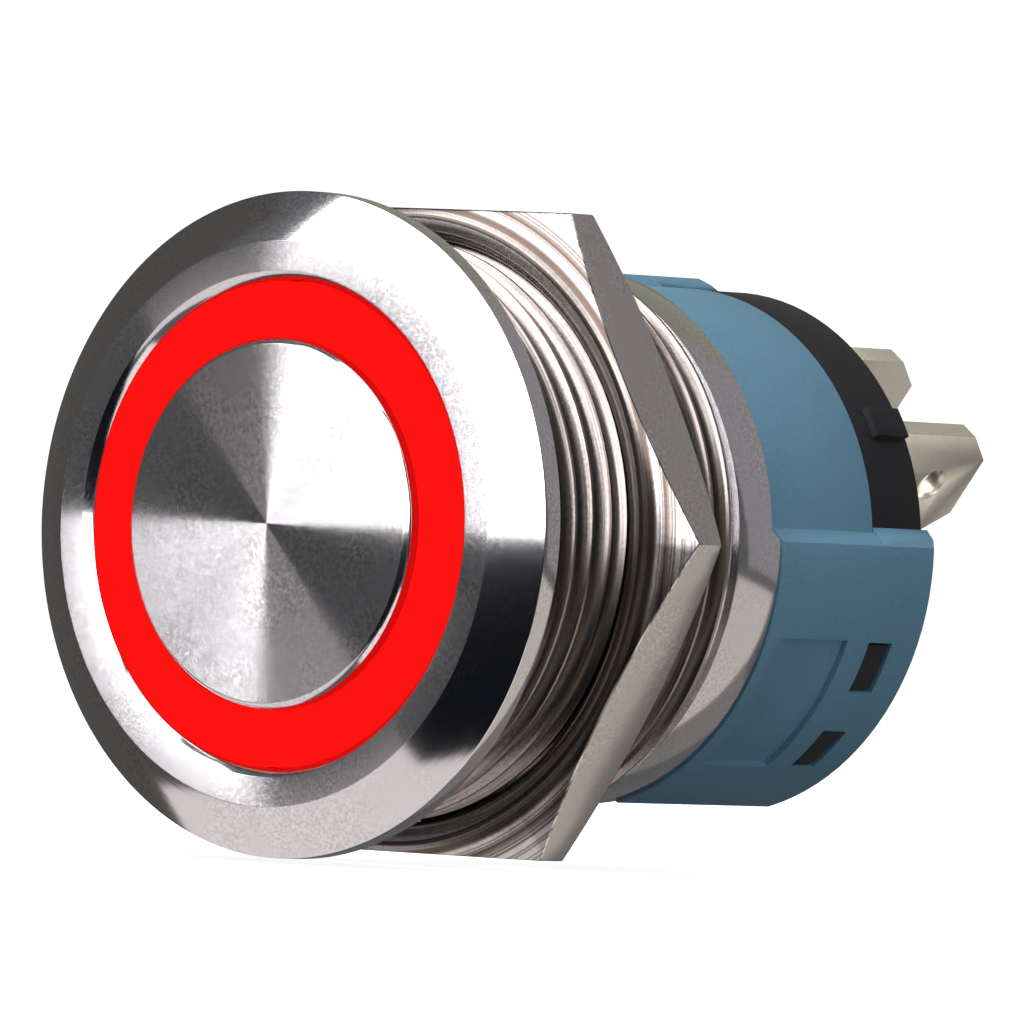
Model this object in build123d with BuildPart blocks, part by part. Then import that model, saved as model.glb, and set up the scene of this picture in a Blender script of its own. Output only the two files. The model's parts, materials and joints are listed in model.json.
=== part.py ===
from build123d import *
import os
from math import atan, cos, degrees, radians, sin, tan

# A ring-lit metal push button for a 22 mm panel hole: a screwed bezel and nut, a sprung button with a
# translucent halo ring, and a keyed plastic contact block with blade terminals.
# Frame: the button faces -Y, the back is +Y, +X is right and +Z is up. The origin is the centre of the
# flange's seating plane, and every depth below is along +Y from it, in millimetres.

os.makedirs("parts", exist_ok=True)

# ---- driving dimensions --------------------------------------------------------------------------
run = 0.05  # radial play of a sliding fit
seat = 0.03  # play between fixed pieces that meet
past = 1.0  # how far a cut runs past what it cuts
overlap = 0.2  # how far a joined block reaches into its piece
press = 0.01  # radial play of a pressed or riveted fit

# bezel and barrel
thread_d = 22.0
thread_depth = 0.61
thread_length = 12.6
flange_width = 1.5  # how far the bezel stands out past the thread
bezel_edge = 0.85  # height of the bezel's straight side
bezel_rise = 1.06  # height of the sloping rim above that side
rim_width = 1.92
mouth_bevel = 0.32
relief_depth = 1.0
relief_width = 0.45
relief_wall = 0.55  # barrel's wall under the relief groove
stop_step = 0.3
stop_depth = 3.5  # step between the two bores, which keeps the button in
collar_drop = 0.65  # collar's surface below the thread's crest
collar_length = 2.55
key_step = 0.6  # how much further the collar reaches under the skirts
key_play = 1.0  # degrees at each side of that key

# flange gasket
gasket_inset = 0.7  # its middle, out from the thread's crest
gasket_width = 0.74
gasket_height = 0.41
gasket_round = 0.15

# nut
nut_wall = 1.15  # from the thread's crest to a flat
nut_thickness = 3.0
nut_depth = 5.42  # front face, as left on the thread
nut_margin = 0.3  # from the edge of the face to a flat
nut_cone_angle = 21.0
nut_chamfer = 0.3
nut_play = 0.03

# button
halo_width = 2.2
cap_thickness = 1.76
cap_proud = 0.29  # cap's face in front of the flat annulus
cap_bevel = 0.3
cap_stem_d = 4.4
cap_stem_length = 4.0
travel = 2.2
halo_sink = 0.28  # halo ring's face behind the flat annulus
web_thickness = 1.4
halo_wall = 1.7
halo_clear = 0.32  # between the halo ring and the LEDs with the button pressed
shoulder_length = 1.5
seal_section = 0.66
seal_offset = 0.36  # seal's middle behind the web's front
seal_squeeze = 0.6  # share of the play that the seal closes
clip_thickness = 0.4
clip_margin = 0.3  # clip's edge past the plunger's
clip_teeth = 6
clip_tooth = (0.5, 0.4)  # radial and tangential
plunger_d = 6.0
tip_d = 2.4
tip_length = 2.15
tip_gap = 0.15  # play between the plunger's tip and the lever at rest

# guide, lamp board and circlip
spring_room = 7.51  # length of the return spring's space
guide_tube_wall = 1.0
guide_lead = 1.95  # guide's tube in front of its disc
guide_disc = 0.8
board_thickness = 0.8
board_play = 0.16  # between the board and the circlip
led_count = 6
led_size = (1.2, 1.6, 0.7)  # radial, tangential, height
led_inset = 0.1  # LED's middle inside the middle of the halo's wall
resistor_count = 3
resistor_size = (1.25, 2.0, 0.5)
resistor_gap = 1.2  # between the guide's tube and a resistor
circlip_section = (0.72, 0.56)
circlip_play = 0.07
circlip_gap_angle = 24.0
lamp_pin_d = 0.6
pin_hole_play = 0.1

# rear housing; angles are about the barrel's axis from the middle of a skirt
block_turn = 143.5  # direction of that middle, from +X towards +Z
housing_drop = 0.57  # housing's surface below the collar's
housing_wall = 1.48
plug_length = 2.03  # base's plug inside the housing
bead_rise = 0.2
bead_width = 0.6
bead_inset = 2.1  # bead's front, in from the collar's end
skirt_rise = 0.05  # skirts' surface above the collar's
skirt_length = 3.3  # past the housing's end
skirt_half_angles = (43.0, 37.8)  # upper and lower skirt
skirt_flare_angle = 4.1
skirt_edge_bevel = 0.3
pad_half_angle = 17.25
pad_sink = 0.25
pad_inset = 0.92
pad_to_window = 1.3
window_angles = (5.3, 17.0)
window_inset = 0.05
window_length = 1.4

# terminal base
base_drop = 0.03  # base's surface below the housing's
base_height = 3.0  # past the housing's end
lug_play = 0.15
lug_inset = 0.5  # degrees at each side
rib_angle = 113.5
rib_width = 1.2
rib_rise = 0.25
rib_inset = 1.0  # rib's front, back from the base's

# contacts and terminals; x and y here are across and along the block
tab_width = 4.8
tab_thickness = 0.8
tab_length = 8.1
tab_corner = (1.1, 1.4)  # across and along
tab_hole_d = 1.4
tab_hole_inset = 2.25
tab_seat = 1.3  # depth inside the base where the blade widens
tab_inset = 2.89  # blade's middle, in from the plug's side
lamp_tab_width = 2.8
lamp_tab_thickness = 0.5
lamp_tab_length = 6.2
lamp_tab_corner = (0.6, 0.875)
lamp_tab_hole_d = 1.12
lamp_tab_hole_inset = 1.65
lamp_x = 4.6
lamp_inset = 3.65
lamp_foot = 0.6  # lamp blade in front of the base's plug
lever_clear = 3.05  # between the guide and the lever
lever_thickness = 0.4
lever_width = 3.2
lever_side = 0.34  # between the lever and the ear that holds its pin
lever_end = 0.2  # lever past its contact
pivot_inset = 2.05
pivot_d = 1.0
pivot_wall = 0.4
pin_end = 0.2
post_gap = 0.6
post_thickness = 1.4
contact_inset = 3.65
contact_d = 1.8
contact_height = 0.48
fixed_contact_height = 0.4
rivet_d = 1.0
strip_thickness = 0.4
strip_width = 1.6
hook_leg = 0.85

# springs
return_wire = 0.5
return_play = 0.45  # between the plunger and its spring
return_turns = 6
lever_wire = 0.35
lever_spring_d = 2.0
lever_spring_turns = 5

# ---- sizes that follow -------------------------------------------------------------------------
thread_r = thread_d / 2
bezel_r = thread_r + flange_width
face_r = bezel_r - rim_width
thread_root_r = thread_r - thread_depth
relief_r = thread_r - relief_depth
collar_r = thread_r - collar_drop
barrel_r = relief_r - relief_wall
bore_r = barrel_r - stop_step
gasket_r = thread_r + gasket_inset
face_depth = -bezel_edge - bezel_rise
collar_front = thread_length + relief_width
collar_back = collar_front + collar_length
nut_flat_r = thread_r + nut_wall
nut_cone_r = nut_flat_r - nut_margin
nut_corner_r = nut_flat_r / cos(radians(30))
nut_bore_r = thread_r + nut_play

halo_r = bore_r - run
cap_r = bore_r - halo_width
stem_r = cap_stem_d / 2
halo_front = face_depth + halo_sink
cap_front = face_depth - cap_proud
cap_back = cap_front + cap_thickness
stem_back = cap_back + cap_stem_length
web_front = cap_back + seat
web_back = web_front + web_thickness
seal_depth = web_front + seal_offset
seal_r = halo_r + run * seal_squeeze - seal_section / 2
shoulder_front = stop_depth + seat
shoulder_r = barrel_r - run
plunger_front = web_back + clip_thickness + 2 * seat
plunger_r, tip_r = plunger_d / 2, tip_d / 2
clip_r = plunger_r + clip_margin
return_mean_d = plunger_d + 2 * return_play + return_wire

guide_front = web_back + spring_room
guide_disc_depth = guide_front + guide_lead
guide_back = guide_disc_depth + guide_disc
guide_bore_r = plunger_r + run
guide_tube_r = guide_bore_r + guide_tube_wall
board_back = guide_disc_depth - seat
board_front = board_back - board_thickness
halo_back = board_front - led_size[2] - travel - halo_clear
circlip_front = guide_disc_depth - circlip_play - circlip_section[1]
circlip_r = barrel_r + circlip_section[0] / 2 - seat
board_r = circlip_r - circlip_section[0] - board_play
led_r = halo_r - halo_wall / 2 - led_inset
resistor_r = guide_tube_r + resistor_gap + resistor_size[0] / 2

housing_r = collar_r - housing_drop
housing_bore_r = housing_r - housing_wall
skirt_r = collar_r + skirt_rise
base_r = housing_r - base_drop
plug_r = housing_bore_r - run
spigot_r = barrel_r - run
skirt_inner_r = base_r + run
lug_r = skirt_r - run
tab_y = plug_r - tab_inset
lamp_y = plug_r - lamp_inset
pivot_y = plug_r - pivot_inset
contact_y = plug_r - contact_inset
tab_x = lever_width / 2 + lever_side + tab_thickness / 2

lever_depth = guide_back + lever_clear
lever_face = lever_depth - lever_thickness / 2
lever_back = lever_depth + lever_thickness / 2
tip_depth = lever_face - tip_gap
tip_front = tip_depth - tip_length
lever_angle = degrees(atan(travel / pivot_y))
# where the moving contact's back face ends up when the lever is fully over
reach = pivot_y + contact_y
swing = radians(lever_angle)
back_face = lever_thickness / 2 + contact_height
closed_y = reach * cos(swing) - back_face * sin(swing) - pivot_y
closed_depth = lever_depth + reach * sin(swing) + (back_face + contact_d / 2 * tan(swing)) * cos(swing)
no_contact_front = closed_depth + seat
strip_front = no_contact_front + fixed_contact_height
block_floor = strip_front + strip_thickness + seat
nc_contact_back = lever_face - contact_height - seat / 2
hook_back = nc_contact_back - contact_height

chamber_front = guide_back + seat
bead_depth = collar_back - bead_inset
thin_front = collar_back - key_step + seat
skirt_front = collar_back + seat
housing_end = block_floor + plug_length - seat
skirt_end = housing_end + skirt_length
base_front = housing_end + seat
base_back = housing_end + base_height
window_front = housing_end + window_inset
window_back = window_front + window_length
pad_front = skirt_front + pad_inset
pad_back = window_front - pad_to_window
tab_root = block_floor + tab_seat
tab_end = base_back + tab_length
lamp_root = block_floor - lamp_foot
lamp_tab_end = base_back + lamp_tab_length

skirt_spans = [(middle - half, middle + half) for middle, half in zip((0, 180), skirt_half_angles)]
gap_spans = [(skirt_spans[0][1], skirt_spans[1][0]), (skirt_spans[1][1], skirt_spans[0][0] + 360)]

# ---- planes and outlines --------------------------------------------------------------------------
across = (cos(radians(block_turn)), 0, sin(radians(block_turn)))
along = (sin(radians(block_turn)), 0, -cos(radians(block_turn)))
back_plane = Plane(origin=(0, 0, 0), x_dir=(1, 0, 0), z_dir=(0, 1, 0))
block_plane = Plane(origin=(0, 0, 0), x_dir=across, z_dir=(0, 1, 0))
blade_plane = Plane(origin=(0, 0, 0), x_dir=along, z_dir=across)


def polar(radius, angle):
    """The point at this radius and angle."""
    return (radius * cos(radians(angle)), radius * sin(radians(angle)))


def box_between(x0, x1, y0, y1, mode=Mode.ADD):
    """A rectangle between two corners of the current sketch."""
    with Locations(((x0 + x1) / 2, (y0 + y1) / 2)):
        Rectangle(abs(x1 - x0), abs(y1 - y0), mode=mode)


def sector(r_in, r_out, start, end, flare=0.0):
    """A piece of a ring between two angles; flare widens its inner side each way."""
    with BuildLine() as outline:
        CenterArc((0, 0), r_in, start - flare, end - start + 2 * flare)
        CenterArc((0, 0), r_out, start, end - start)
        Line(polar(r_in, start - flare), polar(r_out, start))
        Line(polar(r_in, end + flare), polar(r_out, end))
    make_face(outline.edges())


def blade(y_mid, width, start, end, corner):
    """A flat blade with two cut corners at its free end, in the blade plane."""
    with BuildLine() as outline:
        Polyline(
            (y_mid - width / 2, start),
            (y_mid + width / 2, start),
            (y_mid + width / 2, end - corner[1]),
            (y_mid + width / 2 - corner[0], end),
            (y_mid - width / 2 + corner[0], end),
            (y_mid - width / 2, end - corner[1]),
            close=True,
        )
    make_face(outline.edges())


def spring_path(wire, mean_d, turns, front, back):
    """The centre line of a compression spring that fills the space between two depths."""
    height = back - front - wire
    return Helix(height / turns, height, mean_d / 2, center=(0, front + wire / 2, 0), direction=(0, 1, 0))


def finish(builder, label):
    """Names a finished piece and writes it."""
    builder.part.label = label
    export_step(builder.part, f"parts/{label}.step")


# ---- bezel and barrel -----------------------------------------------------------------------------
gasket_groove = (gasket_width / 2 + seat, gasket_height + 2 * seat)
with BuildPart() as bezel_barrel:
    with BuildSketch(Plane.XY):
        with BuildLine():
            Polyline(
                (bore_r, face_depth + mouth_bevel),
                (bore_r + mouth_bevel, face_depth),
                (face_r, face_depth),
                (bezel_r, -bezel_edge),
                (bezel_r, 0),
                (thread_r, 0),
                (thread_r, thread_length - thread_depth),
                (thread_root_r, thread_length),
                (relief_r, thread_length),
                (relief_r, collar_front),
                (collar_r, collar_front),
                (collar_r, collar_back),
                (barrel_r, collar_back),
                (barrel_r, stop_depth),
                (bore_r, stop_depth),
                close=True,
            )
        make_face()
        box_between(
            gasket_r - gasket_groove[0],
            gasket_r + gasket_groove[0],
            -gasket_groove[1],
            past,
            mode=Mode.SUBTRACT,
        )
        # the circlip's groove and the housing bead's groove
        box_between(
            barrel_r - past,
            barrel_r + circlip_section[0] / 2,
            circlip_front - seat,
            circlip_front + circlip_section[1] + seat,
            mode=Mode.SUBTRACT,
        )
        box_between(
            barrel_r - past,
            spigot_r + bead_rise + seat,
            bead_depth - seat,
            bead_depth + bead_width + seat,
            mode=Mode.SUBTRACT,
        )
    revolve(axis=Axis.Y)
    # the collar stops short between the skirts, which keys the housing
    with BuildSketch(block_plane.offset(collar_back - key_step)):
        for start, end in gap_spans:
            sector(barrel_r - past, collar_r + past, start, end)
    extrude(amount=key_step + past, mode=Mode.SUBTRACT)
finish(bezel_barrel, "bezel_barrel")

with BuildPart() as flange_gasket:
    with BuildSketch(Plane.XY):
        with Locations((gasket_r, -gasket_height / 2 - seat)):
            RectangleRounded(gasket_width, gasket_height, gasket_round)
    revolve(axis=Axis.Y)
finish(flange_gasket, "flange_gasket")

# ---- nut ------------------------------------------------------------------------------------------
nut_blank_r = nut_corner_r + past
nut_drop = (nut_blank_r - nut_cone_r) * tan(radians(nut_cone_angle))
nut_back = nut_depth + nut_thickness
with BuildPart() as hex_nut:
    with BuildSketch(back_plane.offset(nut_depth)):
        RegularPolygon(nut_flat_r, 6, major_radius=False)
    extrude(amount=nut_thickness)
    with BuildSketch(Plane.XY):
        with BuildLine():
            Polyline(
                (nut_bore_r, nut_depth + nut_chamfer),
                (nut_bore_r + nut_chamfer, nut_depth),
                (nut_cone_r, nut_depth),
                (nut_blank_r, nut_depth + nut_drop),
                (nut_blank_r, nut_back - nut_drop),
                (nut_cone_r, nut_back),
                (nut_bore_r + nut_chamfer, nut_back),
                (nut_bore_r, nut_back - nut_chamfer),
                close=True,
            )
        make_face()
    revolve(axis=Axis.Y, mode=Mode.INTERSECT)
finish(hex_nut, "hex_nut")

# ---- button ---------------------------------------------------------------------------------------
with BuildPart() as button_cap:
    with BuildSketch(Plane.XY):
        with BuildLine():
            Polyline(
                (0, cap_front),
                (cap_r - cap_bevel, cap_front),
                (cap_r, cap_front + cap_bevel),
                (cap_r, cap_back),
                (stem_r, cap_back),
                (stem_r, stem_back),
                (0, stem_back),
                close=True,
            )
        make_face()
    revolve(axis=Axis.Y)
finish(button_cap, "button_cap")

with BuildPart() as halo_ring:
    with BuildSketch(Plane.XY):
        box_between(cap_r + run, halo_r, halo_front, web_back)
        box_between(stem_r + run, halo_r, web_front, web_back)
        box_between(halo_r - halo_wall, halo_r, web_back, halo_back)
        box_between(halo_r - halo_wall, shoulder_r, shoulder_front, shoulder_front + shoulder_length)
        box_between(
            seal_r - seal_section / 2 - seat,
            halo_r + past,
            seal_depth - seal_section / 2 - seat,
            seal_depth + seal_section / 2 + seat,
            mode=Mode.SUBTRACT,
        )
    revolve(axis=Axis.Y)
finish(halo_ring, "halo_ring")

with BuildPart() as actuator_seal:
    with BuildSketch(Plane.XY):
        with Locations((seal_r, seal_depth)):
            Circle(seal_section / 2)
    revolve(axis=Axis.Y)
finish(actuator_seal, "actuator_seal")

with BuildPart() as cap_clip:
    with BuildSketch(back_plane.offset(web_back + seat)):
        Circle(clip_r)
        Circle(stem_r + press, mode=Mode.SUBTRACT)
        with PolarLocations(stem_r + clip_tooth[0] / 2, clip_teeth):
            Rectangle(*clip_tooth, mode=Mode.SUBTRACT)
    extrude(amount=clip_thickness)
finish(cap_clip, "cap_clip")

with BuildPart() as plunger:
    with BuildSketch(Plane.XY):
        box_between(0, plunger_r, plunger_front, tip_front)
        box_between(0, tip_r, tip_front, tip_depth - tip_r)
        with BuildLine():
            CenterArc((0, tip_depth - tip_r), tip_r, 0, 90)
            Polyline((0, tip_depth), (0, tip_depth - tip_r), (tip_r, tip_depth - tip_r))
        make_face()
        box_between(0, stem_r + press, plunger_front, stem_back + seat, mode=Mode.SUBTRACT)
    revolve(axis=Axis.Y)
finish(plunger, "plunger")

with BuildPart() as return_spring:
    with BuildLine():
        coil = spring_path(return_wire, return_mean_d, return_turns, web_back + seat, guide_front - seat)
    with BuildSketch(Plane(origin=coil @ 0, z_dir=coil % 0)):
        Circle(return_wire / 2)
    sweep(is_frenet=True)
finish(return_spring, "return_spring")

# ---- guide, circlip and lamp board -------------------------------------------------------------------
pin_spots = [(lamp_x, -lamp_y), (-lamp_x, -lamp_y)]
with BuildPart() as plunger_guide:
    with BuildSketch(Plane.XY):
        box_between(guide_bore_r, guide_tube_r, guide_front, guide_back)
        box_between(guide_bore_r, barrel_r - run, guide_disc_depth, guide_back)
    revolve(axis=Axis.Y)
    with BuildSketch(block_plane.offset(guide_disc_depth)):
        with Locations(*pin_spots):
            Circle(lamp_pin_d / 2 + pin_hole_play)
    extrude(amount=guide_disc, mode=Mode.SUBTRACT)
finish(plunger_guide, "plunger_guide")

with BuildPart() as circlip:
    with BuildSketch(Plane.XY):
        circlip_back = circlip_front + circlip_section[1]
        box_between(circlip_r - circlip_section[0], circlip_r, circlip_front, circlip_back)
    revolve(axis=Axis.Y, revolution_arc=360 - circlip_gap_angle)
finish(circlip, "circlip")

with BuildPart() as led_board:
    with BuildSketch(block_plane.offset(board_front)):
        Circle(board_r)
        Circle(guide_tube_r + run, mode=Mode.SUBTRACT)
        with Locations(*pin_spots):
            Circle(lamp_pin_d / 2 + press, mode=Mode.SUBTRACT)
    extrude(amount=board_thickness)
finish(led_board, "led_board")

with BuildPart() as leds:
    with BuildSketch(block_plane.offset(board_front)):
        with PolarLocations(led_r, led_count):
            Rectangle(led_size[0], led_size[1])
    extrude(amount=-led_size[2])
finish(leds, "leds")

with BuildPart() as resistors:
    with BuildSketch(block_plane.offset(board_front)):
        with PolarLocations(resistor_r, resistor_count, start_angle=180 / led_count):
            Rectangle(resistor_size[0], resistor_size[1])
    extrude(amount=-resistor_size[2])
finish(resistors, "resistors")

with BuildPart() as lamp_pins:
    with BuildSketch(block_plane.offset(board_front - lamp_pin_d / 2)):
        with Locations(*pin_spots):
            Circle(lamp_pin_d / 2)
    extrude(amount=lamp_root - board_front + lamp_pin_d / 2)
finish(lamp_pins, "lamp_pins")

# ---- rear housing ---------------------------------------------------------------------------------
window_spans = [
    (middle + side * window_angles[0], middle + side * window_angles[1])
    for middle in (0, 180)
    for side in (1, -1)
]
with BuildPart() as rear_housing:
    with BuildSketch(Plane.XY):
        box_between(housing_bore_r, spigot_r, chamber_front, skirt_front)
        box_between(housing_bore_r, spigot_r + bead_rise, bead_depth, bead_depth + bead_width)
        box_between(housing_bore_r, housing_r, skirt_front, housing_end)
    revolve(axis=Axis.Y)
    # the housing comes forward between the ends of the collar's key
    with BuildSketch(block_plane.offset(thin_front)):
        for start, end in gap_spans:
            sector(spigot_r - overlap, housing_r, start + key_play, end - key_play)
    extrude(amount=skirt_front - thin_front)
    # two opposite skirts run back past the housing's end, around the base
    with BuildSketch(block_plane.offset(skirt_front)):
        for start, end in skirt_spans:
            sector(housing_r - overlap, skirt_r, start, end, flare=skirt_flare_angle)
    extrude(amount=housing_end - skirt_front)
    with BuildSketch(block_plane.offset(housing_end)):
        for start, end in skirt_spans:
            sector(skirt_inner_r, skirt_r, start, end, flare=skirt_flare_angle)
    extrude(amount=skirt_end - housing_end)
    with BuildSketch(block_plane.offset(pad_front)):
        for middle in (0, 180):
            sector(skirt_r - pad_sink, skirt_r + past, middle - pad_half_angle, middle + pad_half_angle)
    extrude(amount=pad_back - pad_front, mode=Mode.SUBTRACT)
    with BuildSketch(block_plane.offset(window_front)):
        for start, end in window_spans:
            sector(skirt_inner_r - overlap, skirt_r + past, start, end)
    extrude(amount=window_back - window_front, mode=Mode.SUBTRACT)
    # bevelled rim at the ends of the skirts
    with BuildSketch(Plane.XY):
        with BuildLine():
            Polyline(
                (skirt_r - skirt_edge_bevel, skirt_end),
                (skirt_r, skirt_end - skirt_edge_bevel),
                (skirt_r + past, skirt_end - skirt_edge_bevel),
                (skirt_r + past, skirt_end + past),
                (skirt_r - skirt_edge_bevel, skirt_end + past),
                close=True,
            )
        make_face()
    revolve(axis=Axis.Y, mode=Mode.SUBTRACT)
finish(rear_housing, "rear_housing")

# ---- terminal base ----------------------------------------------------------------------------------
post_half = pivot_d / 2 + pivot_wall
post_x = (lever_width / 2 + post_gap, lever_width / 2 + post_gap + post_thickness)
leg_y = (tab_y - tab_width / 2, tab_y - tab_width / 2 + strip_width)
hook_leg_y = (-tab_y - tab_width / 2, -tab_y - tab_width / 2 + hook_leg)
with BuildPart() as terminal_base:
    with BuildSketch(Plane.XY):
        box_between(0, base_r, base_front, base_back)
        box_between(0, plug_r, block_floor, base_front)
    revolve(axis=Axis.Y)
    with BuildSketch(block_plane.offset(max(base_front, window_front) + lug_play / 3)):
        for start, end in window_spans:
            inset = lug_inset if end > start else -lug_inset
            sector(base_r - overlap, lug_r, start + inset, end - inset)
    extrude(amount=window_length - 2 * lug_play)
    with BuildSketch(block_plane.offset(base_front + rib_inset)):
        rib_half = degrees(rib_width / 2 / base_r)
        sector(base_r - overlap, base_r + rib_rise, rib_angle - rib_half, rib_angle + rib_half)
    extrude(amount=base_back - base_front - rib_inset - 2 * seat)
    # the post that carries the far end of the lever's pin
    with BuildSketch(blade_plane.offset(-post_x[1])):
        box_between(pivot_y - post_half, pivot_y + post_half, lever_depth - post_half, block_floor + overlap)
        with Locations((pivot_y, lever_depth)):
            Circle(pivot_d / 2 + press, mode=Mode.SUBTRACT)
    extrude(amount=post_thickness)
    # slots for the three contact blades, their legs and the two lamp blades
    half, lamp_half = tab_thickness / 2 + seat, lamp_tab_thickness / 2 + seat
    with BuildSketch(block_plane.offset(tab_root - seat)):
        for x, y in ((tab_x, tab_y), (-tab_x, tab_y), (0, -tab_y)):
            box_between(x - half, x + half, y - tab_width / 2 - seat, y + tab_width / 2 + seat)
    extrude(amount=base_back - tab_root + past, mode=Mode.SUBTRACT)
    with BuildSketch(block_plane.offset(block_floor - seat)):
        ear_y = (pivot_y - post_half - seat, pivot_y + post_half + seat)
        box_between(tab_x - half, tab_x + half, *ear_y)
        box_between(-tab_x - half, -tab_x + half, leg_y[0] - seat, leg_y[1] + seat)
        box_between(-half, half, hook_leg_y[0] - seat, hook_leg_y[1] + seat)
    extrude(amount=tab_root - block_floor + seat, mode=Mode.SUBTRACT)
    with BuildSketch(block_plane.offset(block_floor - seat)):
        for x, y in pin_spots:
            reach_y = lamp_tab_width / 2 + seat
            box_between(x - lamp_half, x + lamp_half, y - reach_y, y + reach_y)
    extrude(amount=base_back - block_floor + past, mode=Mode.SUBTRACT)
finish(terminal_base, "terminal_base")

# ---- contacts and terminals ---------------------------------------------------------------------------
hole_depth = tab_end - tab_hole_inset
with BuildPart() as terminal_common:
    with BuildSketch(blade_plane.offset(tab_x)):
        blade(tab_y, tab_width, tab_root, tab_end, tab_corner)
        box_between(pivot_y - post_half, pivot_y + post_half, lever_depth - post_half, tab_root + overlap)
        with Locations((tab_y, hole_depth)):
            Circle(tab_hole_d / 2, mode=Mode.SUBTRACT)
        with Locations((pivot_y, lever_depth)):
            Circle(pivot_d / 2 + press, mode=Mode.SUBTRACT)
    extrude(amount=tab_thickness / 2, both=True)
finish(terminal_common, "terminal_common")

pad_y = (-closed_y - contact_d / 2, -closed_y + contact_d / 2)
with BuildPart() as terminal_no:
    with BuildSketch(blade_plane.offset(-tab_x)):
        blade(tab_y, tab_width, tab_root, tab_end, tab_corner)
        box_between(*leg_y, strip_front, tab_root + overlap)
        with Locations((tab_y, hole_depth)):
            Circle(tab_hole_d / 2, mode=Mode.SUBTRACT)
    extrude(amount=tab_thickness / 2, both=True)
    with BuildSketch(block_plane.offset(strip_front)):
        box_between(-tab_x - strip_width / 2, -tab_x + strip_width / 2, pad_y[0], leg_y[1])
        box_between(-tab_x - strip_width / 2, contact_d / 2, *pad_y)
    extrude(amount=strip_thickness)
finish(terminal_no, "terminal_no")

with BuildPart() as terminal_nc:
    with BuildSketch(blade_plane):
        blade(-tab_y, tab_width, tab_root, tab_end, tab_corner)
        box_between(*hook_leg_y, hook_back - strip_thickness, tab_root + overlap)
        box_between(hook_leg_y[0], -contact_y + contact_d / 2, hook_back - strip_thickness, hook_back)
        with Locations((-tab_y, hole_depth)):
            Circle(tab_hole_d / 2, mode=Mode.SUBTRACT)
    extrude(amount=tab_thickness / 2, both=True)
finish(terminal_nc, "terminal_nc")

for x, label in ((lamp_x, "terminal_lamp_pos"), (-lamp_x, "terminal_lamp_neg")):
    with BuildPart() as lamp_terminal:
        with BuildSketch(blade_plane.offset(x)):
            blade(-lamp_y, lamp_tab_width, lamp_root, lamp_tab_end, lamp_tab_corner)
            with Locations((-lamp_y, lamp_tab_end - lamp_tab_hole_inset)):
                Circle(lamp_tab_hole_d / 2, mode=Mode.SUBTRACT)
        extrude(amount=lamp_tab_thickness / 2, both=True)
    finish(lamp_terminal, label)

with BuildPart() as fixed_contacts:
    with BuildSketch(block_plane.offset(hook_back)):
        with Locations((0, -contact_y)):
            Circle(contact_d / 2)
    extrude(amount=contact_height)
    with BuildSketch(block_plane.offset(no_contact_front)):
        with Locations((0, -closed_y)):
            Circle(contact_d / 2)
    extrude(amount=fixed_contact_height)
finish(fixed_contacts, "fixed_contacts")

with BuildPart() as pivot_pin:
    with BuildSketch(blade_plane.offset(-post_x[1])):
        with Locations((pivot_y, lever_depth)):
            Circle(pivot_d / 2)
    extrude(amount=post_x[1] + tab_x + tab_thickness / 2 + pin_end)
finish(pivot_pin, "pivot_pin")

with BuildPart() as contact_lever:
    with BuildSketch(blade_plane):
        box_between(-contact_y - contact_d / 2 - lever_end, pivot_y, lever_face, lever_back)
        with Locations((pivot_y, lever_depth)):
            Circle(pivot_d / 2 + run + pivot_wall)
            Circle(pivot_d / 2 + run, mode=Mode.SUBTRACT)
    extrude(amount=lever_width / 2, both=True)
    with BuildSketch(block_plane.offset(lever_face)):
        with Locations((0, -contact_y)):
            Circle(rivet_d / 2 + press)
    extrude(amount=lever_thickness, mode=Mode.SUBTRACT)
finish(contact_lever, "contact_lever")

with BuildPart() as moving_contact:
    with BuildSketch(block_plane.offset(lever_face - contact_height)):
        with Locations((0, -contact_y)):
            Circle(contact_d / 2)
    extrude(amount=contact_height)
    with BuildSketch(block_plane.offset(lever_face)):
        with Locations((0, -contact_y)):
            Circle(rivet_d / 2)
    extrude(amount=lever_thickness)
    with BuildSketch(block_plane.offset(lever_back)):
        with Locations((0, -contact_y)):
            Circle(contact_d / 2)
    extrude(amount=contact_height)
finish(moving_contact, "moving_contact")

with BuildPart() as contact_spring:
    with BuildLine():
        coil = spring_path(lever_wire, lever_spring_d, lever_spring_turns, lever_back + seat, block_floor - seat)
    with BuildSketch(Plane(origin=coil @ 0, z_dir=coil % 0)):
        Circle(lever_wire / 2)
    sweep(is_frenet=True)
finish(contact_spring, "contact_spring")
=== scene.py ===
import json
from math import atan2, cos, pi, radians, sin, tan, tau

import bmesh
import bpy
from bpy.props import FloatProperty, FloatVectorProperty, PointerProperty
from mathutils import Matrix, Vector


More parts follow.
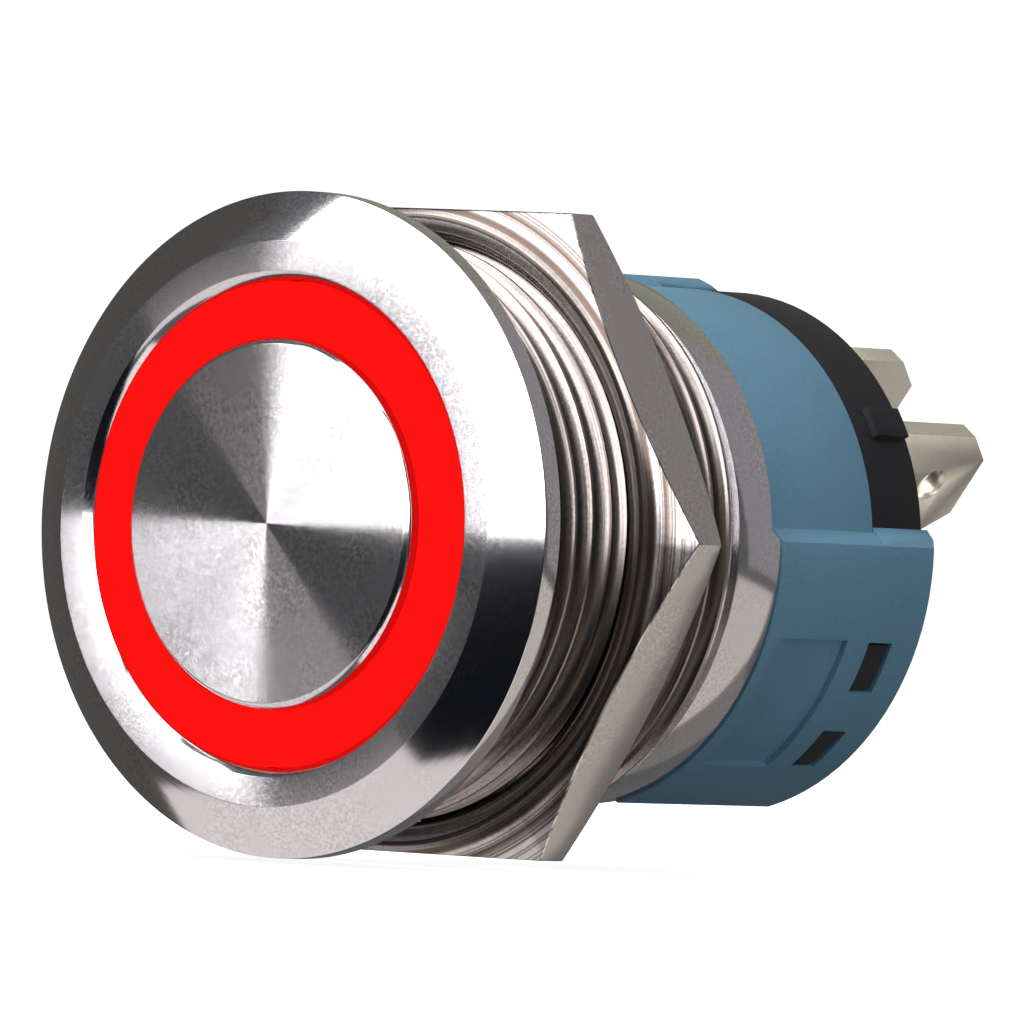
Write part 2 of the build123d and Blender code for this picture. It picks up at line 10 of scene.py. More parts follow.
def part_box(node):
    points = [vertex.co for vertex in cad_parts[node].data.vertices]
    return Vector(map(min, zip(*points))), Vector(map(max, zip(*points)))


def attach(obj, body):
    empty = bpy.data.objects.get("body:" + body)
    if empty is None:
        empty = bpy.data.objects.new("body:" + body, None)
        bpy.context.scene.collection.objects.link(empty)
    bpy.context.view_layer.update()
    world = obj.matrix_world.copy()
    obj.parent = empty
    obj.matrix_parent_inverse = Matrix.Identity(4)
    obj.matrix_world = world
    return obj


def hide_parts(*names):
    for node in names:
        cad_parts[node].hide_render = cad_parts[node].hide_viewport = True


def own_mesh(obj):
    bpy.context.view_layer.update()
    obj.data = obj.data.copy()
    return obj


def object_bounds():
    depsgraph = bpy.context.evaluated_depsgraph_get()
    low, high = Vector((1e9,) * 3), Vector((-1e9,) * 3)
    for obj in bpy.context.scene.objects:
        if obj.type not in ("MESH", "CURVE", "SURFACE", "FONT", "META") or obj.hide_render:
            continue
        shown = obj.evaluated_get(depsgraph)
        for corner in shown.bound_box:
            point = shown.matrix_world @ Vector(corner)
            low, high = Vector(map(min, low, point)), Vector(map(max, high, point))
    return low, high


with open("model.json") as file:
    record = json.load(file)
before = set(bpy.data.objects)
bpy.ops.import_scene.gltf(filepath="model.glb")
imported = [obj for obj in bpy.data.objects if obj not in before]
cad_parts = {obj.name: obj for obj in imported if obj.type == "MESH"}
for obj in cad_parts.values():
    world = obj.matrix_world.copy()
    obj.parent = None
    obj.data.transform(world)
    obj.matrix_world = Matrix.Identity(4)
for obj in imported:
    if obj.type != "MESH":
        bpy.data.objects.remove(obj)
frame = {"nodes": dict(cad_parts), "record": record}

bl_info = {
    "name": "Ring-Lit Push Button",
    "version": (1, 0, 0),
    "blender": (4, 5, 0),
    "location": "3D Viewport > Sidebar > Push Button",
    "description": "Finishes a panel push button around its CAD frame",
    "category": "Add Mesh",
}

CAD_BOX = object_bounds()
MM = 0.001
BARREL_AXIS = Vector((0, 1, 0))
LATHE_STEPS = 192


# ---- sizes and colours that a user may change -------------------------------------------------------
def barrel_reach():
    """The bezel's outer radius, its front depth and the collar's rear depth, from the CAD node."""
    low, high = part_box("bezel_barrel")
    return high.x, low.y, high.y


BEZEL_R, BEZEL_FRONT, COLLAR_BACK = barrel_reach()


def length(name, description, millimetres):
    """A length setting, whose default is given in millimetres."""
    default = millimetres * MM
    return FloatProperty(name=name, description=description, default=default, unit="LENGTH", precision=5)


def angle(name, description, in_degrees):
    """An angle setting, whose default is given in degrees."""
    return FloatProperty(name=name, description=description, default=radians(in_degrees), unit="ROTATION")


def colour(name, description, value):
    """A colour setting."""
    settings = {"subtype": "COLOR", "min": 0, "max": 1}
    return FloatVectorProperty(name=name, description=description, default=value, **settings)


class BarrelSizes(bpy.types.PropertyGroup):
    """Sizes of the bezel and its threaded barrel"""

    edge_height: length("Edge height", "Height of the bezel's straight side", 0.85)
    face_radius: length("Face radius", "Outside of the flat ring around the halo", 10.58)
    mouth_radius: length("Mouth radius", "Bore that the button slides in", 9.15)
    mouth_bevel: length("Mouth bevel", "Bevel at the front of that bore", 0.32)
    bore_radius: length("Bore radius", "Bore behind the button's stop", 9.45)
    stop_depth: length("Stop depth", "Depth of the step between the bores", 3.5)
    thread_length: length("Thread length", "From the flange's seat to the thread's end", 12.6)
    pitch: length("Pitch", "Travel for one turn of the thread", 1.0)
    crest_radius: length("Crest radius", "Outside of the thread", 10.98)
    root_radius: length("Root radius", "Bottom of the thread", 10.39)
    crest_flat: length("Crest flat", "Width of the thread's crest", 0.125)
    root_flat: length("Root flat", "Width of the thread's root", 0.06)
    relief_radius: length("Relief radius", "Groove behind the thread", 10.0)
    relief_width: length("Relief width", "Width of that groove", 0.45)
    collar_radius: length("Collar radius", "Plain collar behind the groove", 10.35)
    key_step: length("Key step", "How far the collar is cut back between the skirts", 0.6)
    skirt_middle: angle("Skirt middle", "Direction of the upper skirt's middle, from +X towards +Z", 143.5)
    upper_skirt: angle("Upper skirt", "Half the angle that the upper skirt covers", 43.0)
    lower_skirt: angle("Lower skirt", "Half the angle that the lower skirt covers", 37.8)
    edge_round: length("Edge round", "Rounding of the turned edges", 0.05)
    gasket_width: length("Gasket width", "Width of the rubber ring behind the flange", 0.74)
    gasket_play: length("Gasket play", "Room round the ring in its groove", 0.03)


class CapSizes(bpy.types.PropertyGroup):
    """Sizes of the button's steel cap"""

    bevel: length("Bevel", "Bevel round the cap's face", 0.22)
    thickness: length("Thickness", "Thickness of the cap's disc", 1.76)
    stem_radius: length("Stem radius", "Radius of the stem behind the disc", 2.2)
    edge_round: length("Edge round", "Rounding of the cap's edges", 0.05)


class NutSizes(bpy.types.PropertyGroup):
    """Sizes of the hexagonal nut"""

    cone_radius: length("Cone radius", "Where the sloping chamfer begins", 11.85)
    cone_angle: angle("Cone angle", "Slope of the chamfer", 21)
    bore_radius: length("Bore radius", "Radius of the nut's bore", 11.03)
    bore_chamfer: length("Bore chamfer", "Chamfer at each end of the bore", 0.3)
    edge_round: length("Edge round", "Rounding of the edges", 0.07)


class HousingSizes(bpy.types.PropertyGroup):
    """Edge finish of the moulded and stamped pieces"""

    moulded_edge: length("Moulded edge", "Rounding of the plastic's edges", 0.09)
    stamped_edge: length("Stamped edge", "Rounding of the blades' edges", 0.06)
    sharp_angle: angle("Sharp angle", "Edges that turn more than this are rounded", 28)


class SpringSizes(bpy.types.PropertyGroup):
    """How far the springs give way when the button goes in"""

    button_give: length("Button give", "How far the button presses its spring", 2.22)
    lever_give: length("Lever give", "How far the lever presses its spring, with room for its tilt", 2.7)


class FinishColours(bpy.types.PropertyGroup):
    """Colours of the finishes"""

    steel: colour("Steel", "Turned stainless steel", (0.66, 0.64, 0.655))
    thread: colour("Thread", "Cut thread, darkened by oil", (0.31, 0.275, 0.26))
    # painted shade: the thread is the barrel's own steel made darker and browner, to stand in for the
    # shade behind the flange
    nickel: colour("Nickel", "Plated nut", (0.56, 0.53, 0.515))
    halo: colour("Halo", "Lit ring", (1.0, 0.007, 0.006))
    blue: colour("Housing", "Steel-blue plastic", (0.105, 0.228, 0.325))
    black: colour("Base", "Black plastic", (0.010, 0.009, 0.011))
    tin: colour("Blades", "Tinned brass", (0.93, 0.88, 0.78))


# ---- shader maths ------------------------------------------------------------------------------------
class Value:
    """A number, direction or colour that varies over a surface. Arithmetic on a number adds Math nodes."""

    def __init__(self, finish, socket):
        self.finish = finish
        self.socket = socket

    def _math(self, operation, *terms):
        return self.finish.node("ShaderNodeMath", {"operation": operation}, *terms)

    def __add__(self, other):
        return self._math("ADD", self, other)

    __radd__ = __add__

    def __sub__(self, other):
        return self._math("SUBTRACT", self, other)

    def __rsub__(self, other):
        return self._math("SUBTRACT", other, self)

    def __mul__(self, other):
        return self._math("MULTIPLY", self, other)

    __rmul__ = __mul__

    def __pow__(self, other):
        return self._math("POWER", self, other)

    def between(self, low, high):
        """0 below low, 1 above high, and smooth in between."""
        settings = {"interpolation_type": "SMOOTHSTEP"}
        return self.finish.node("ShaderNodeMapRange", settings, self, low, high, 0.0, 1.0)


class Finish:
    """A material with one Principled shader, built up by node() and arithmetic on what it returns."""

    def __init__(self, name, **constants):
        self.material = bpy.data.materials.new(name)
        self.material.use_nodes = True
        self.tree = self.material.node_tree
        self.shader = self.tree.nodes["Principled BSDF"]
        for socket, value in constants.items():
            self.shader.inputs[socket.replace("_", " ")].default_value = value

    def node(self, kind, settings=None, *terms):
        """Adds a node, applies its settings, then fills its inputs in order with values or links."""
        node = self.tree.nodes.new(kind)
        for name, value in (settings or {}).items():
            setattr(node, name, value)
        for socket, term in zip(node.inputs, terms):
            self.feed(socket, term)
        return Value(self, node.outputs[0])

    def feed(self, socket, term):
        """Links a Value to a socket, sets a constant on it, or leaves it for None."""
        if isinstance(term, Value):
            self.tree.links.new(term.socket, socket)
        elif term is not None:
            socket.default_value = term

    def drive(self, **inputs):
        """Feeds the shader's own sockets."""
        for name, term in inputs.items():
            self.feed(self.shader.inputs[name.replace("_", " ")], term)
        return self.material

    def vector(self, operation, *terms):
        """Vector Math."""
        return self.node("ShaderNodeVectorMath", {"operation": operation}, *terms)

    def scaled(self, vector, factor):
        """A vector times a number."""
        node = self.tree.nodes.new("ShaderNodeVectorMath")
        node.operation = "SCALE"
        self.feed(node.inputs[0], vector)
        self.feed(node.inputs["Scale"], factor)
        return Value(self, node.outputs[0])

    def position(self):
        """The point on the surface, in metres, in the object's frame."""
        node = self.tree.nodes.new("ShaderNodeTexCoord")
        return Value(self, node.outputs["Object"])

    def facing(self):
        """The surface's own direction."""
        node = self.tree.nodes.new("ShaderNodeNewGeometry")
        return Value(self, node.outputs["Normal"])

    def split(self, vector):
        """A vector's three numbers."""
        node = self.tree.nodes.new("ShaderNodeSeparateXYZ")
        self.feed(node.inputs[0], vector)
        return [Value(self, out) for out in node.outputs]

    def join(self, x, y, z):
        """A vector from three numbers."""
        return self.node("ShaderNodeCombineXYZ", None, x, y, z)

    def noise(self, vector, per_mm, detail=2.0, roughness=0.5):
        """Noise from 0 to 1, with this many features for each millimetre."""
        node = self.tree.nodes.new("ShaderNodeTexNoise")
        terms = {"Vector": vector, "Scale": per_mm / MM, "Detail": detail, "Roughness": roughness}
        for name, term in terms.items():
            self.feed(node.inputs[name], term)
        return Value(self, node.outputs["Fac"])

    def scatter(self, vector):
        """An unrelated number from 0 to 1 at every point."""
        node = self.tree.nodes.new("ShaderNodeTexWhiteNoise")
        self.feed(node.inputs["Vector"], self.scaled(vector, 1 / MM))
        return Value(self, node.outputs["Value"])

    def blend(self, factor, first, second):
        """A mix of two colours."""
        node = self.tree.nodes.new("ShaderNodeMix")
        node.data_type = "RGBA"
        colours = [s for s in node.inputs if s.type == "RGBA"]
        self.feed(node.inputs["Factor"], factor)
        for socket, term in zip(colours, (first, second)):
            self.feed(socket, term if isinstance(term, Value) else (*term[:3], 1.0))
        return Value(self, next(s for s in node.outputs if s.type == "RGBA"))

    def bump(self, height, depth, strength=1.0):
        """A bumped direction from a height of 0 to 1 and a depth in metres."""
        node = self.tree.nodes.new("ShaderNodeBump")
        for name, term in {"Strength": strength, "Distance": depth, "Height": height}.items():
            self.feed(node.inputs[name], term)
        return Value(self, node.outputs["Normal"])


def tint(colour_value, factor):
    """A colour made lighter or darker."""
    return tuple(min(1.0, channel * factor) for channel in colour_value[:3])


def turning_marks(finish, feed_slope, feed_per_mm, face_slope):
    """A direction tilted by lathe marks, which run in circles about the barrel's axis.

    The tool's feed leaves visible rings of feed_slope on every turned surface. A faced end is also
    covered in marks too fine to see one by one, which spread the light across them by face_slope.
    """
    here, facing = finish.position(), finish.facing()
    x, y, z = finish.split(here)
    radius = (x * x + z * z) ** 0.5
    around = finish.vector("NORMALIZE", finish.join(z, 0.0, x * -1.0))
    out = finish.vector("CROSS_PRODUCT", facing, around)
    along_axis = finish.split(facing)[1]
    squareness = along_axis * along_axis
    feed = finish.noise(finish.join(radius, y, 0.0), feed_per_mm, detail=2.0) - 0.5
    tilt = feed * squareness.between(0.02, 0.2) * (4.0 * feed_slope)
    if face_slope:
        scratch = finish.scatter(finish.join(radius, y, 0.0)) - 0.5
        tilt = tilt + scratch * squareness.between(0.85, 0.97) * (2.0 * face_slope)
    return finish.vector("NORMALIZE", finish.vector("ADD", facing, finish.scaled(out, tilt)))


# ---- finishes ----------------------------------------------------------------------------------------
def turned_metal(name, base, roughness, feed_slope, feed_per_mm, face_slope=0.0, painted_ring_shade=0.0):
    """Lathe-turned metal: circular marks, a fine speckle, faint stains and, if wanted, dark rings of
    painted shade.
    """
    finish = Finish(name, Metallic=1.0)
    here = finish.position()
    speckle = finish.noise(here, 7.0, detail=3.0, roughness=0.75)
    stain = finish.noise(here, 0.35, detail=2.0)
    grey = finish.blend(speckle.between(0.36, 0.64), tint(base, 0.79), tint(base, 1.10))
    shade = finish.blend(stain.between(0.35, 0.7), grey, tint(base, 0.95))
    # painted shade: dark brown rings on every surface but the cylinders, standing in for the shade and
    # dark reflections in the turned grooves
    if painted_ring_shade:
        x, y, z = finish.split(here)
        along_axis = finish.split(finish.facing())[1]
        rings = finish.noise(finish.join((x * x + z * z) ** 0.5, y, 0.0), 3.0, detail=3.0, roughness=0.7)
        ring_shade_mask = rings.between(0.44, 0.62) * (along_axis * along_axis).between(0.03, 0.12) * painted_ring_shade
        shade = finish.blend(ring_shade_mask, shade, (base[0] * 0.12, base[1] * 0.085, base[2] * 0.065))
    normal = turning_marks(finish, feed_slope, feed_per_mm, face_slope)
    return finish.drive(Base_Color=shade, Roughness=roughness + speckle * 0.06, Normal=normal)


def bare_metal(name, base, roughness, per_mm=9.0):
    """Plain strip, wire or pin metal with a fine drawn grain."""
    finish = Finish(name, Metallic=1.0)
    here = finish.position()
    grain = finish.noise(here, per_mm, detail=3.0, roughness=0.6)
    shade = finish.blend(grain, tint(base, 0.86), tint(base, 1.08))
    drawn = finish.bump(grain, 0.002 * MM, 0.5)
    return finish.drive(Base_Color=shade, Roughness=roughness + grain * 0.12, Normal=drawn)


def moulded_plastic(name, base, roughness, grain_per_mm, grain_depth, gloss=0.4):
    """Moulded plastic with a spark-eroded grain and a slight drift of shade."""
    finish = Finish(name, Specular_IOR_Level=gloss)
    here = finish.position()
    grain = finish.noise(here, grain_per_mm, detail=2.0, roughness=0.6)
    drift = finish.noise(here, 0.25, detail=1.0)
    shade = finish.blend(drift.between(0.3, 0.7), tint(base, 0.94), tint(base, 1.05))
    shade = finish.blend(grain.between(0.3, 0.8), shade, tint(base, 1.12))
    texture = finish.bump(grain, grain_depth * MM, 0.6)
    return finish.drive(Base_Color=shade, Roughness=roughness + grain * 0.1, Normal=texture)


def lit_halo(name, base):
    """Translucent ring lit from behind, with a slight drift of brightness."""
    finish = Finish(name, Emission_Strength=1.0, Roughness=0.5, Specular_IOR_Level=0.0)
    drift = finish.noise(finish.position(), 0.6, detail=1.0)
    glow = finish.blend(drift, tint(base, 0.96), base)
    shade = finish.blend(drift, (0.01, 0.0, 0.0), (0.02, 0.001, 0.001))
    return finish.drive(Base_Color=shade, Emission_Color=glow)


def circuit_board(name, base):
    """Solder mask over glass weave."""
    finish = Finish(name, Coat_Weight=0.4)
    weave = finish.noise(finish.position(), 4.0, detail=1.0)
    shade = finish.blend(weave, tint(base, 0.8), tint(base, 1.15))
    return finish.drive(Base_Color=shade, Roughness=0.35 + weave * 0.1)


def make_finishes(colours):
    """Every finish of the object, by the record's slot name, and the thread's own."""
    rubber, acetal = (0.022, 0.022, 0.024), (0.78, 0.77, 0.73)
    lens, chip = (0.8, 0.08, 0.05), (0.03, 0.03, 0.03)
    return {
        "stainless": turned_metal("turned_stainless", colours.steel, 0.08, 0.03, 28.0, face_slope=0.55),
        "stainless_cap": turned_metal("faced_stainless", colours.steel, 0.10, 0.02, 28.0, face_slope=0.62),
        # painted shade: the thread's finish is the steel made darker, with dark rings
        "thread_painted_shade": turned_metal("thread_painted_shade", colours.thread, 0.20, 0.05, 9.0, painted_ring_shade=0.5),
        # painted shade: dark rings on the nut's faces and cones
        "plated_steel": turned_metal("plated_nut", colours.nickel, 0.22, 0.05, 5.0, painted_ring_shade=0.95),
        "halo": lit_halo("lit_halo", colours.halo),
        "black_rubber": moulded_plastic("nitrile_rubber", rubber, 0.62, 6.0, 0.01),
        "spring_steel": bare_metal("spring_steel", (0.55, 0.55, 0.56), 0.25),
        "white_plastic": moulded_plastic("natural_acetal", acetal, 0.4, 5.0, 0.006),
        "board": circuit_board("solder_mask", (0.02, 0.16, 0.06)),
        "led_lens": moulded_plastic("red_lens", lens, 0.2, 5.0, 0.002),
        "chip": moulded_plastic("chip_resistor", chip, 0.4, 8.0, 0.003),
        "copper_pin": bare_metal("tinned_copper", (0.72, 0.52, 0.36), 0.3),
        "blue_plastic": moulded_plastic("steel_blue_plastic", colours.blue, 0.50, 7.0, 0.012, gloss=0.25),
        "black_plastic": moulded_plastic("black_plastic", colours.black, 0.52, 7.0, 0.014, gloss=0.22),
        "tinned_brass": bare_metal("tinned_brass", colours.tin, 0.30, 5.0),
        "silver": bare_metal("contact_silver", (0.85, 0.84, 0.80), 0.3),
        "copper_strip": bare_metal("copper_strip", (0.75, 0.45, 0.26), 0.3),
    }


FINISHES = {}


# ---- making pieces -----------------------------------------------------------------------------------
def lathe(bm, profile, steps=LATHE_STEPS):
    """Turns a closed outline of (radius, depth) points, in metres, about the barrel's axis."""
    corners = [bm.verts.new((radius, depth, 0)) for radius, depth in profile]
    edges = [bm.edges.new((corners[i - 1], corners[i])) for i in range(len(corners))]
    bmesh.ops.spin(bm, geom=corners + edges, axis=BARREL_AXIS, cent=(0, 0, 0), angle=tau,
                   steps=steps, use_merge=True)
    bmesh.ops.remove_doubles(bm, verts=bm.verts, dist=1e-7)


def sharp_edges(bm, angle, wanted=None):
    """Edges where two faces meet at more than this angle, and for which wanted(edge) holds."""
    found = [e for e in bm.edges if e.is_manifold and e.calc_face_angle(0) > angle]
    return [e for e in found if wanted is None or wanted(e)]


def round_edges(bm, edges, width, segments=2):
    """Rounds edges over this width."""
    bmesh.ops.bevel(bm, geom=edges, offset=width, offset_type="OFFSET", affect="EDGES", segments=segments,
                    profile=0.5, clamp_overlap=True, material=-1)


def place(bm, name, slot, body, replaces=(), smooth_below=radians(35)):
    """Makes the finished piece from a mesh: its finish, its body and what it stands for."""
    bmesh.ops.recalc_face_normals(bm, faces=bm.faces)
    mesh = bpy.data.meshes.new(name)
    bm.to_mesh(mesh)
    bm.free()
    mesh.polygons.foreach_set("use_smooth", [True] * len(mesh.polygons))
    mesh.set_sharp_from_angle(angle=smooth_below)
    piece = bpy.data.objects.new(name, mesh)
    bpy.context.scene.collection.objects.link(piece)
    mesh.materials.append(FINISHES[slot])
    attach(piece, body)
    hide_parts(*replaces)
    return piece


def merged_copy(node):
    """A bmesh with a CAD node's shape, its loose triangles joined."""
    bm = bmesh.new()
    bm.from_mesh(frame["nodes"][node].data)
    bmesh.ops.remove_doubles(bm, verts=bm.verts, dist=2e-6)
    return bm


def softened_copy(node, name, slot, edge_width, sharp_angle):
    """A CAD node's shape with its flat faces made whole and its sharp edges rounded."""
    bm = merged_copy(node)
    bmesh.ops.dissolve_limit(bm, angle_limit=radians(1.0), verts=bm.verts, edges=bm.edges)
    round_edges(bm, sharp_edges(bm, sharp_angle), edge_width)
    bmesh.ops.remove_doubles(bm, verts=bm.verts, dist=1e-6)
    place(bm, name, slot, "housing", [node])


def helical_ridge(bm, sizes, start, end):
    """The thread: one ridge wound round the barrel, sunk in its root and fading out at both ends."""
    steps_per_turn = 96
    sink = 0.05 * MM
    half_root, half_crest = (sizes.pitch - sizes.root_flat) / 2, sizes.crest_flat / 2
    section = [
        (sizes.root_radius - sink, start - half_root),
        (sizes.root_radius, start - half_root),
        (sizes.crest_radius, start - half_crest),
        (sizes.crest_radius, start + half_crest),
        (sizes.root_radius, start + half_root),
        (sizes.root_radius - sink, start + half_root),
    ]
    turns = (end - start) / sizes.pitch
    steps = round(turns * steps_per_turn)
    corners = [bm.verts.new((radius, depth, 0)) for radius, depth in section]
    edges = [bm.edges.new((corners[i - 1], corners[i])) for i in range(len(corners))]
    bmesh.ops.spin(bm, geom=corners + edges, axis=BARREL_AXIS, cent=(0, 0, 0), angle=-turns * tau,
                   dvec=(0, (end - start) / steps, 0), steps=steps)
    bm.verts.ensure_lookup_table()
    fade_steps = 0.3 * steps_per_turn
    root = sizes.root_radius - sink
    chamfer_front = sizes.thread_length - (sizes.crest_radius - sizes.root_radius)
    for vert in bm.verts:
        step = vert.index // len(section)
        radius = Vector((vert.co.x, 0, vert.co.z)).length
        chamfer_radius = sizes.crest_radius - max(0, vert.co.y - chamfer_front)
        strength = min(1, step / fade_steps, (steps - step) / fade_steps)
        wanted = min(root + (radius - root) * strength, max(chamfer_radius, root))
        vert.co.x *= wanted / radius
        vert.co.z *= wanted / radius
    bmesh.ops.holes_fill(bm, edges=bm.edges)


def smooth_ramp(value, low, high):
    """0 below low, 1 above high, and smooth in between."""
    share = min(1, max(0, (value - low) / (high - low)))
    return share * share * (3 - 2 * share)


def between_skirts(point, sizes):
    """1 where a point lies between the two skirts, 0 where it lies under one, and smooth at their ends."""
    turned = (sizes.skirt_middle - atan2(point.z, point.x)) % tau
    from_middle = min(turned, tau - turned)
    ramp = radians(2.0)
    past_upper = smooth_ramp(from_middle, sizes.upper_skirt, sizes.upper_skirt + ramp)
    past_lower = smooth_ramp(pi - from_middle, sizes.lower_skirt, sizes.lower_skirt + ramp)
    return past_upper * past_lower


# ---- operators ----------------------------------------------------------------------------------------
class BUTTON_OT_finishes(bpy.types.Operator):
    """Make every finish and put one on each CAD node"""

    bl_idname = "button.finishes"
    bl_label = "Finishes"

    def execute(self, context):
        FINISHES.clear()
        FINISHES.update(make_finishes(context.scene.finish_colours))
        for subpart in frame["record"]["subparts"]:
            node = frame["nodes"][subpart["node"]]
            node.data.materials.clear()
            node.data.materials.append(FINISHES[subpart["material_slot"]])
        return {"FINISHED"}


class BUTTON_OT_barrel(bpy.types.Operator):
    """Turn the bezel, the threaded barrel and its collar, and cut the thread"""

    bl_idname = "button.barrel"
    bl_label = "Bezel and Barrel"
    end_face = 0.1 * MM  # what lies this near the end is on its face
    keyed_length = 1 * MM  # length of the collar's end that holds the key's edges
    thread_lead = 0.3 * MM  # how far in front of the seat the thread fades in

    def execute(self, context):
        s = context.scene.barrel_sizes
        gasket_low, gasket_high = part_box("flange_gasket")
        groove_out = gasket_high.x + s.gasket_play
        groove_in = gasket_high.x - s.gasket_width - s.gasket_play
        groove_depth = gasket_low.y - s.gasket_play
        relief_back = s.thread_length + s.relief_width
        profile = [
            (s.mouth_radius, BEZEL_FRONT + s.mouth_bevel),
            (s.mouth_radius + s.mouth_bevel, BEZEL_FRONT),
            (s.face_radius, BEZEL_FRONT),
            (BEZEL_R, -s.edge_height),
            (BEZEL_R, 0),
            (groove_out, 0),
            (groove_out, groove_depth),
            (groove_in, groove_depth),
            (groove_in, 0),
            (s.root_radius, 0),
            (s.root_radius, s.thread_length - s.root_flat / 2),
            (s.root_radius - s.root_flat / 2, s.thread_length),
            (s.relief_radius, s.thread_length),
            (s.relief_radius, relief_back),
            (s.collar_radius, relief_back),
            (s.collar_radius, COLLAR_BACK),
            (s.bore_radius, COLLAR_BACK),
            (s.bore_radius, s.stop_depth),
            (s.mouth_radius, s.stop_depth),
        ]
        bm = bmesh.new()
        lathe(bm, profile)
        for vert in bm.verts:
            if vert.co.y > COLLAR_BACK - self.end_face:
                vert.co.y -= s.key_step * between_skirts(vert.co, s)
        keyed_end = COLLAR_BACK - self.keyed_length
        in_front = sharp_edges(bm, radians(20), lambda edge: edge.verts[0].co.y < keyed_end)
        round_edges(bm, in_front, s.edge_round)
        behind = sharp_edges(bm, radians(60), lambda edge: edge.verts[0].co.y > keyed_end)
        round_edges(bm, behind, s.edge_round)
        place(bm, "bezel_and_barrel", "stainless", "housing", ["bezel_barrel"])

        bm = bmesh.new()
        helical_ridge(bm, s, -self.thread_lead, s.thread_length - s.pitch / 2)
        thread = place(bm, "barrel_thread", "stainless", "housing", ["bezel_barrel"], radians(40))
        # the thread gets the darker steel of painted shade
        thread.data.materials[0] = FINISHES["thread_painted_shade"]
        return {"FINISHED"}


class BUTTON_OT_nut(bpy.types.Operator):
    """Turn the nut's bore and cones and mill its six flats"""

    bl_idname = "button.nut"
    bl_label = "Hexagonal Nut"

    def execute(self, context):
        s = context.scene.nut_sizes
        low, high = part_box("hex_nut")
        half_corners, half_flats = high.x, high.z
        front, back = low.y, high.y
        blank_radius = half_corners + 1 * MM
        drop = (blank_radius - s.cone_radius) * tan(s.cone_angle)
        profile = [
            (s.bore_radius, front + s.bore_chamfer),
            (s.bore_radius + s.bore_chamfer, front),
            (s.cone_radius, front),
            (blank_radius, front + drop),
            (blank_radius, back - drop),
            (s.cone_radius, back),
            (s.bore_radius + s.bore_chamfer, back),
            (s.bore_radius, back - s.bore_chamfer),
        ]
        bm = bmesh.new()
        lathe(bm, profile)
        for flat in range(6):
            angle = radians(30 + 60 * flat)
            outward = Vector((cos(angle), 0, sin(angle)))
            everything = bm.verts[:] + bm.edges[:] + bm.faces[:]
            cut = bmesh.ops.bisect_plane(bm, geom=everything, dist=1e-8, plane_co=outward * half_flats,
                                         plane_no=outward, clear_outer=True)
            edges = [g for g in cut["geom_cut"] if isinstance(g, bmesh.types.BMEdge)]
            bmesh.ops.edgeloop_fill(bm, edges=edges)
        round_edges(bm, sharp_edges(bm, radians(25)), s.edge_round)
        place(bm, "milled_nut", "plated_steel", "nut", ["hex_nut"])
        return {"FINISHED"}


class BUTTON_OT_cap(bpy.types.Operator):
    """Turn the button's steel cap with its stem"""

    bl_idname = "button.cap"
    bl_label = "Button Cap"

    def execute(self, context):
        s = context.scene.cap_sizes
        low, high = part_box("button_cap")
        cap_radius, front, stem_back = high.x, low.y, high.y
        cap_back = front + s.thickness
        bm = bmesh.new()
        profile = [
            (cap_radius - s.bevel, front),
            (cap_radius, front + s.bevel),
            (cap_radius, cap_back),
            (s.stem_radius, cap_back),
            (s.stem_radius, stem_back),
        ]
        verts = [bm.verts.new((0, front, 0))] + [bm.verts.new((r, y, 0)) for r, y in profile]
        verts.append(bm.verts.new((0, stem_back, 0)))
        edges = [bm.edges.new(pair) for pair in zip(verts, verts[1:])]
        bmesh.ops.spin(bm, geom=verts + edges, axis=BARREL_AXIS, cent=(0, 0, 0), angle=tau,
                       steps=LATHE_STEPS, use_merge=True)
        bmesh.ops.remove_doubles(bm, verts=bm.verts, dist=1e-6)
        round_edges(bm, sharp_edges(bm, radians(25)), s.edge_round)
        place(bm, "faced_cap", "stainless_cap", "button", ["button_cap"])
        return {"FINISHED"}


class BUTTON_OT_springs(bpy.types.Operator):
    """Make the two springs as copies of the CAD springs"""

    bl_idname = "button.springs"
    bl_label = "Springs"

    def execute(self, context):
        s = context.scene.spring_sizes
        self.spring("return_spring", "button_spring", "button_press", s.button_give)
        self.spring("contact_spring", "lever_spring", "lever_swing", s.lever_give)
        return {"FINISHED"}

    def spring(self, node, name, joint, give):
        """A copy of a CAD spring, with a mesh of its own; give is not used."""
        piece = place(merged_copy(node), name, "spring_steel", "housing", [node])
        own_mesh(piece)


class BUTTON_OT_housing(bpy.types.Operator):
    """Finish the moulded housing and base and the stamped blades"""

    bl_idname = "button.housing"
    bl_label = "Housing and Terminals"

    def execute(self, context):
        s = context.scene.housing_sizes
        copies = [
            ("rear_housing", "moulded_housing", "blue_plastic", s.moulded_edge),
            ("terminal_base", "moulded_base", "black_plastic", s.moulded_edge),
        ]
        for blade in ("common", "no", "nc", "lamp_pos", "lamp_neg"):
            copies.append((f"terminal_{blade}", f"blade_{blade}", "tinned_brass", s.stamped_edge))
        for node, name, slot, edge in copies:
            softened_copy(node, name, slot, edge, s.sharp_angle)
        return {"FINISHED"}


